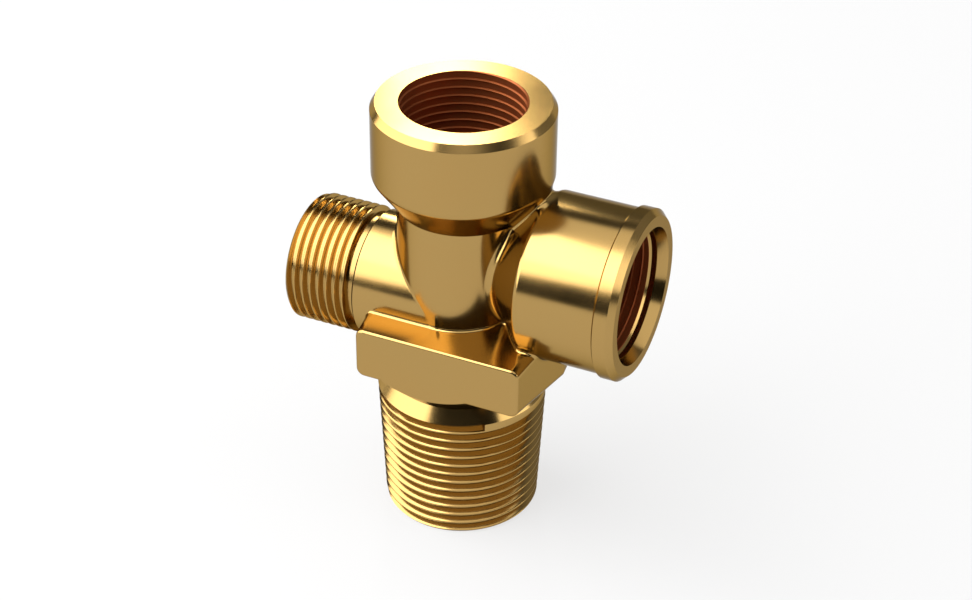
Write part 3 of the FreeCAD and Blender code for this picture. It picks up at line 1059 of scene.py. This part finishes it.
def floor_material(studio):
    """Pale floor that reads white behind the object and in its reflections, and keeps its shadow."""
    material = bpy.data.materials.new("studio_floor")
    material.use_nodes = True
    tree = material.node_tree
    tree.nodes.clear()
    link = tree.links.new
    out = node(tree, "ShaderNodeOutputMaterial", (700, 0))
    paint = node(tree, "ShaderNodeBsdfDiffuse", (0, 100), Color=studio.floor)
    glow = node(tree, "ShaderNodeEmission", (0, -100), Strength=1.0)
    pick = node(tree, "ShaderNodeMixShader", (450, 0))
    path = node(tree, "ShaderNodeLightPath", (-400, 300))
    seen = node(tree, "ShaderNodeMath", (-200, 300), operation="ADD")
    seen_through = node(tree, "ShaderNodeMath", (0, 300), operation="ADD")
    seen_through.use_clamp = True
    white = node(tree, "ShaderNodeMath", (200, 300), operation="MULTIPLY")
    white.inputs[1].default_value = studio.floor_white
    link(path.outputs["Is Camera Ray"], seen.inputs[0])
    link(path.outputs["Is Glossy Ray"], seen.inputs[1])
    link(seen.outputs[0], seen_through.inputs[0])
    link(path.outputs["Is Transmission Ray"], seen_through.inputs[1])
    link(seen_through.outputs[0], white.inputs[0])
    link(white.outputs[0], pick.inputs[0])
    link(paint.outputs[0], pick.inputs[1])
    link(glow.outputs[0], pick.inputs[2])
    link(pick.outputs[0], out.inputs["Surface"])
    return material


# ---------------------------------------------------------------- operators

class VALVE_OT_body(bpy.types.Operator):
    """Builds the forged and machined body, cuts its threads and bores, and gives it its brass finish"""

    bl_idname = "valve.body"
    bl_label = "Valve body"

    def execute(self, context):
        s = millimetres(context.scene.valve_body)
        body, skin = forging(s)
        combine(body, threaded_stem(s), "UNION")
        cut_outlet_thread(body, s)
        bore_out(body, s)
        shade_by_skin(body, s, skin)
        body.data.transform(Matrix.Scale(METRE, 4))
        body.data.materials.clear()
        body.data.materials.append(brass_material(context.scene.valve_finish, s))
        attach(body, "root")
        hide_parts("valve_body")
        return {"FINISHED"}


class VALVE_OT_floor(bpy.types.Operator):
    """Lays the pale studio floor under the foot"""

    bl_idname = "valve.floor"
    bl_label = "Studio floor"

    def execute(self, context):
        nothing_selected()
        bpy.ops.mesh.primitive_circle_add(vertices=96, radius=6.0, fill_type="NGON", location=(0, 0, 0))
        floor = context.object
        floor.name = "studio_floor"
        floor.data.materials.append(floor_material(context.scene.valve_studio))
        return {"FINISHED"}


class VALVE_OT_lights(bpy.types.Operator):
    """Sets the soft lamps and the light of the studio round the object"""

    bl_idname = "valve.lights"
    bl_label = "Studio light"

    def execute(self, context):
        studio = context.scene.valve_studio
        aim = Vector((0, 0, 0.04))
        lamps = (
            ("key", -64, 38.5, 0.9, 1.5, 1.24, 3.9),
            ("side", 96, 18, 0.9, 0.7, 0.32, 2.6),
            ("back", 205.9, 30, 0.9, 0.06, 0.3, 16.0),
        )
        for name, azimuth, elevation, distance, wide, high, radiance in lamps:
            turn, rise = math.radians(azimuth), math.radians(elevation)
            out = Vector((math.sin(turn) * math.cos(rise), -math.cos(turn) * math.cos(rise), math.sin(rise)))
            nothing_selected()
            bpy.ops.object.light_add(type="AREA", location=aim + out * distance)
            lamp = context.object
            lamp.name = name
            lamp.rotation_euler = (-out).to_track_quat("-Z", "Y").to_euler()
            lamp.data.shape = "RECTANGLE"
            lamp.data.size = wide
            lamp.data.size_y = high
            lamp.data.energy = radiance * math.pi * wide * high
        world = bpy.data.worlds.new("studio")
        context.scene.world = world
        world.use_nodes = True
        tree = world.node_tree
        tree.nodes.clear()
        link = tree.links.new
        out = node(tree, "ShaderNodeOutputWorld", (600, 0))
        light = node(tree, "ShaderNodeBackground", (400, 0), Strength=1.0)
        place = node(tree, "ShaderNodeTexCoord", (-600, 0))
        lean, turn = math.radians(9.5), studio.azimuth
        dome = node(tree, "ShaderNodeVectorMath", (-400, 100), operation="DOT_PRODUCT")
        dome.inputs[1].default_value = (math.sin(turn) * math.sin(lean), -math.cos(turn) * math.sin(lean), math.cos(lean))
        behind = node(tree, "ShaderNodeVectorMath", (-400, -150), operation="DOT_PRODUCT")
        behind.inputs[1].default_value = (math.sin(math.radians(155)), -math.cos(math.radians(155)), 0)
        above = node(tree, "ShaderNodeMapRange", (-150, 100), interpolation_type="SMOOTHSTEP", From_Min=0.69, From_Max=0.77, To_Min=0.02, To_Max=1.25)
        wall = node(tree, "ShaderNodeMapRange", (-150, -150), interpolation_type="SMOOTHSTEP", From_Min=0.5, From_Max=0.85, To_Min=0.0, To_Max=0.3)
        level = node(tree, "ShaderNodeMath", (100, 0), operation="MAXIMUM")
        link(place.outputs["Generated"], dome.inputs[0])
        link(place.outputs["Generated"], behind.inputs[0])
        link(dome.outputs["Value"], above.inputs["Value"])
        link(behind.outputs["Value"], wall.inputs["Value"])
        link(above.outputs["Result"], level.inputs[0])
        link(wall.outputs["Result"], level.inputs[1])
        link(level.outputs[0], light.inputs["Color"])
        link(light.outputs[0], out.inputs["Surface"])
        return {"FINISHED"}


class VALVE_OT_camera(bpy.types.Operator):
    """Sets the camera to the view of the photograph"""

    bl_idname = "valve.camera"
    bl_label = "Camera"

    def execute(self, context):
        studio = context.scene.valve_studio
        turn, rise, roll = studio.azimuth, studio.elevation, studio.roll
        back = Vector((math.sin(turn) * math.cos(rise), -math.cos(turn) * math.cos(rise), math.sin(rise)))
        right = Vector((math.cos(turn), math.sin(turn), 0))
        up = back.cross(right)
        level = right * math.cos(roll) + up * math.sin(roll)
        upright = up * math.cos(roll) - right * math.sin(roll)
        nothing_selected()
        bpy.ops.object.camera_add()
        camera = context.object
        camera.name = "camera"
        target = Vector((0.00356, 0.00159, 0.03945))
        place = Matrix((level, upright, back)).transposed().to_4x4()
        place.translation = target + back * studio.distance
        camera.matrix_world = place
        camera.data.lens = studio.lens
        camera.data.sensor_width = studio.sensor
        camera.data.clip_start, camera.data.clip_end = 0.01, 20.0
        context.scene.camera = camera
        context.scene.view_settings.view_transform = "Standard"
        return {"FINISHED"}


class VALVE_PT_panel(bpy.types.Panel):
    """Lists the steps that build the valve body and its studio"""

    bl_idname = "VALVE_PT_panel"
    bl_label = "Gas cylinder valve body"
    bl_space_type = "VIEW_3D"
    bl_region_type = "UI"
    bl_category = "Valve"

    def draw(self, context):
        column = self.layout.column()
        for operator in STEPS:
            column.operator(operator.bl_idname)


GROUPS = {"valve_body": BodySizes, "valve_finish": BodyFinish, "valve_studio": StudioSettings}
STEPS = (VALVE_OT_camera, VALVE_OT_floor, VALVE_OT_lights, VALVE_OT_body)


def register():
    for group in GROUPS.values():
        bpy.utils.register_class(group)
    for kind in (*STEPS, VALVE_PT_panel):
        bpy.utils.register_class(kind)
    for name, group in GROUPS.items():
        setattr(bpy.types.Scene, name, bpy.props.PointerProperty(type=group))


def unregister():
    for name in GROUPS:
        delattr(bpy.types.Scene, name)
    for kind in (VALVE_PT_panel, *reversed(STEPS), *GROUPS.values()):
        bpy.utils.unregister_class(kind)


def main():
    register()
    bpy.ops.valve.camera()
    bpy.ops.valve.floor()
    bpy.ops.valve.lights()
    bpy.ops.valve.body()
    bpy.context.view_layer.update()


if __name__ == "__main__":
    main()
